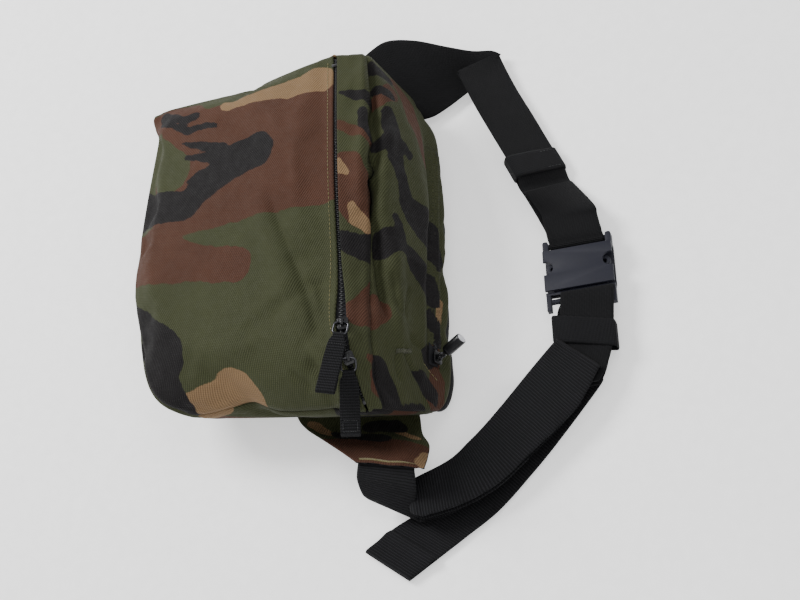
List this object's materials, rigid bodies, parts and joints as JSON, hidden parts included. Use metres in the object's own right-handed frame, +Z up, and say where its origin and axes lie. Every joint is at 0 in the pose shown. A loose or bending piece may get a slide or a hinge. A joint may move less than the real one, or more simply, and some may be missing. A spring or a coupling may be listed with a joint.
{
  "type": "waist pack",
  "caption": "Waist pack in camouflage twill with main and rear zips, webbing waist strap, side-release buckle, elastic keepers and a hemmed strap tail.",
  "frame": {"origin": "centre of the back panel's resting face", "axes": "+X along the pack's length towards the end with the main zip's sliders, +Y from its bottom seam towards its top and strap, +Z up out of the front panel"},
  "size_m": [0.406, 0.3397, 0.101],
  "materials": {
    "camo": "printed woodland twill, matte",
    "lining": "black coated lining, matte",
    "webbing": "ribbed black webbing, matte",
    "tab_webbing": "narrow ribbed webbing, matte",
    "elastic": "black elastic band, matte",
    "zip_tape": "woven zip tape, matte",
    "zip_coil": "nylon coil, satin",
    "hardware": "black lacquered zinc, satin",
    "wire": "black lacquered wire, worn bright on bends",
    "buckle": "moulded acetal, fine matte grain",
    "barrel": "black, satin gloss",
    "barrel_cap": "pale end disc",
    "thread": "olive sewing thread"
  },
  "bodies": {
    "pack": {"back_panel": "lining", "bar_tack": "thread", "bottom_gusset": "camo", "buckle_female": "buckle", "front_panel": "camo", "main_zip_coil": "zip_coil", "main_zip_stops": "hardware", "main_zip_tape_front": "zip_tape", "main_zip_tape_rear": "zip_tape", "rear_piping": "lining", "rear_pocket_bag": "lining", "rear_zip_coil": "zip_coil", "rear_zip_tape": "zip_tape", "side_panel_far": "camo", "side_panel_near": "camo", "strap_far": "webbing", "strap_far_return": "webbing", "strap_far_root": "webbing", "strap_fold": "webbing", "strap_fold_return": "webbing", "strap_near_root": "webbing", "strap_near_under": "webbing", "strap_tail": "webbing", "tail_hem": "webbing", "top_gusset_front": "camo", "top_gusset_rear": "camo", "wing_far": "camo", "wing_far_facing": "lining", "wing_near": "camo", "wing_near_facing": "lining"},
    "main_slider_far": {"main_slider_far": "hardware"},
    "main_loop_far": {"main_slider_far_loop": "wire"},
    "main_tab_far": {"main_slider_far_tab": "tab_webbing"},
    "main_slider_near": {"main_slider_near": "hardware"},
    "main_loop_near": {"main_slider_near_loop": "wire"},
    "main_tab_near": {"main_slider_near_tab": "tab_webbing"},
    "rear_slider": {"rear_slider": "hardware"},
    "rear_ring": {"rear_slider_ring": "wire"},
    "rear_barrel": {"rear_barrel_pull": "barrel", "rear_barrel_cap": "barrel_cap"},
    "buckle_male": {"buckle_male": "buckle", "strap_loop": "webbing"},
    "keeper_near": {"keeper_near": "elastic"},
    "arm_left": {"buckle_arm_left": "buckle"},
    "arm_right": {"buckle_arm_right": "buckle"},
    "keeper_far": {"keeper_far": "elastic"}
  },
  "joints": [
    {"name": "main_slider_far_slide", "type": "slide", "parent": "pack", "child": "main_slider_far", "axis": [0.9985, 0.0533, 0.0097], "range_m": [-0.18, 0]},
    {"name": "main_loop_far_hinge", "type": "hinge", "parent": "main_slider_far", "child": "main_loop_far", "pos_m": [0.08994, 0.04051, 0.09548], "axis": [-0.2081, -0.9736, 0.0935], "range_deg": [0, 90]},
    {"name": "main_tab_far_hinge", "type": "hinge", "parent": "main_loop_far", "child": "main_tab_far", "pos_m": [0.09826, 0.03876, 0.09577], "axis": [-0.2081, -0.9736, 0.0935], "range_deg": [0, 80]},
    {"name": "main_slider_near_slide", "type": "slide", "parent": "pack", "child": "main_slider_near", "axis": [0.8601, 0.2458, -0.447], "range_m": [0, 0.016]},
    {"name": "main_loop_near_hinge", "type": "hinge", "parent": "main_slider_near", "child": "main_loop_near", "pos_m": [0.11445, 0.04382, 0.09161], "axis": [0.0052, -0.9704, 0.2415], "range_deg": [0, 18]},
    {"name": "main_tab_near_hinge", "type": "hinge", "parent": "main_loop_near", "child": "main_tab_near", "pos_m": [0.12225, 0.04304, 0.08831], "axis": [0.0052, -0.9704, 0.2415], "range_deg": [0, 40]},
    {"name": "rear_slider_slide", "type": "slide", "parent": "pack", "child": "rear_slider", "axis": [1, 0, 0], "range_m": [-0.155, 0]},
    {"name": "rear_ring_hinge", "type": "hinge", "parent": "rear_slider", "child": "rear_ring", "pos_m": [0.093, 0.08751, 0.03241], "axis": [0, 0.4422, -0.8969], "range_deg": [-40, 75]},
    {"name": "rear_barrel_hinge", "type": "hinge", "parent": "rear_ring", "child": "rear_barrel", "pos_m": [0.09136, 0.09155, 0.0344], "axis": [0, 0.4422, -0.8969], "range_deg": [-15, 15]},
    {"name": "buckle_release", "type": "slide", "parent": "pack", "child": "buckle_male", "axis": [0.9997, 0.0262, 0], "range_m": [0, 0.028]},
    {"name": "buckle_arm_left_hinge", "type": "hinge", "parent": "buckle_male", "child": "arm_left", "pos_m": [0.04544, 0.16421, 0.0095], "axis": [0, 0, -1], "range_deg": [0, 8], "stiffness_Nm_per_rad": 0.4},
    {"name": "buckle_arm_right_hinge", "type": "hinge", "parent": "buckle_male", "child": "arm_right", "pos_m": [0.04454, 0.1986, 0.0095], "axis": [0, 0, 1], "range_deg": [0, 8], "stiffness_Nm_per_rad": 0.4},
    {"name": "keeper_near_slide", "type": "slide", "parent": "buckle_male", "child": "keeper_near", "axis": [0.9997, 0.0262, 0], "range_m": [-0.008, 0.014]},
    {"name": "keeper_far_slide", "type": "slide", "parent": "pack", "child": "keeper_far", "axis": [0.9155, 0.4024, -0.0074], "range_m": [-0.025, 0.012]}
  ],
  "couplings": [
    {"joint": "buckle_arm_right_hinge", "follows": "buckle_arm_left_hinge", "ratio": 1}
  ]
}
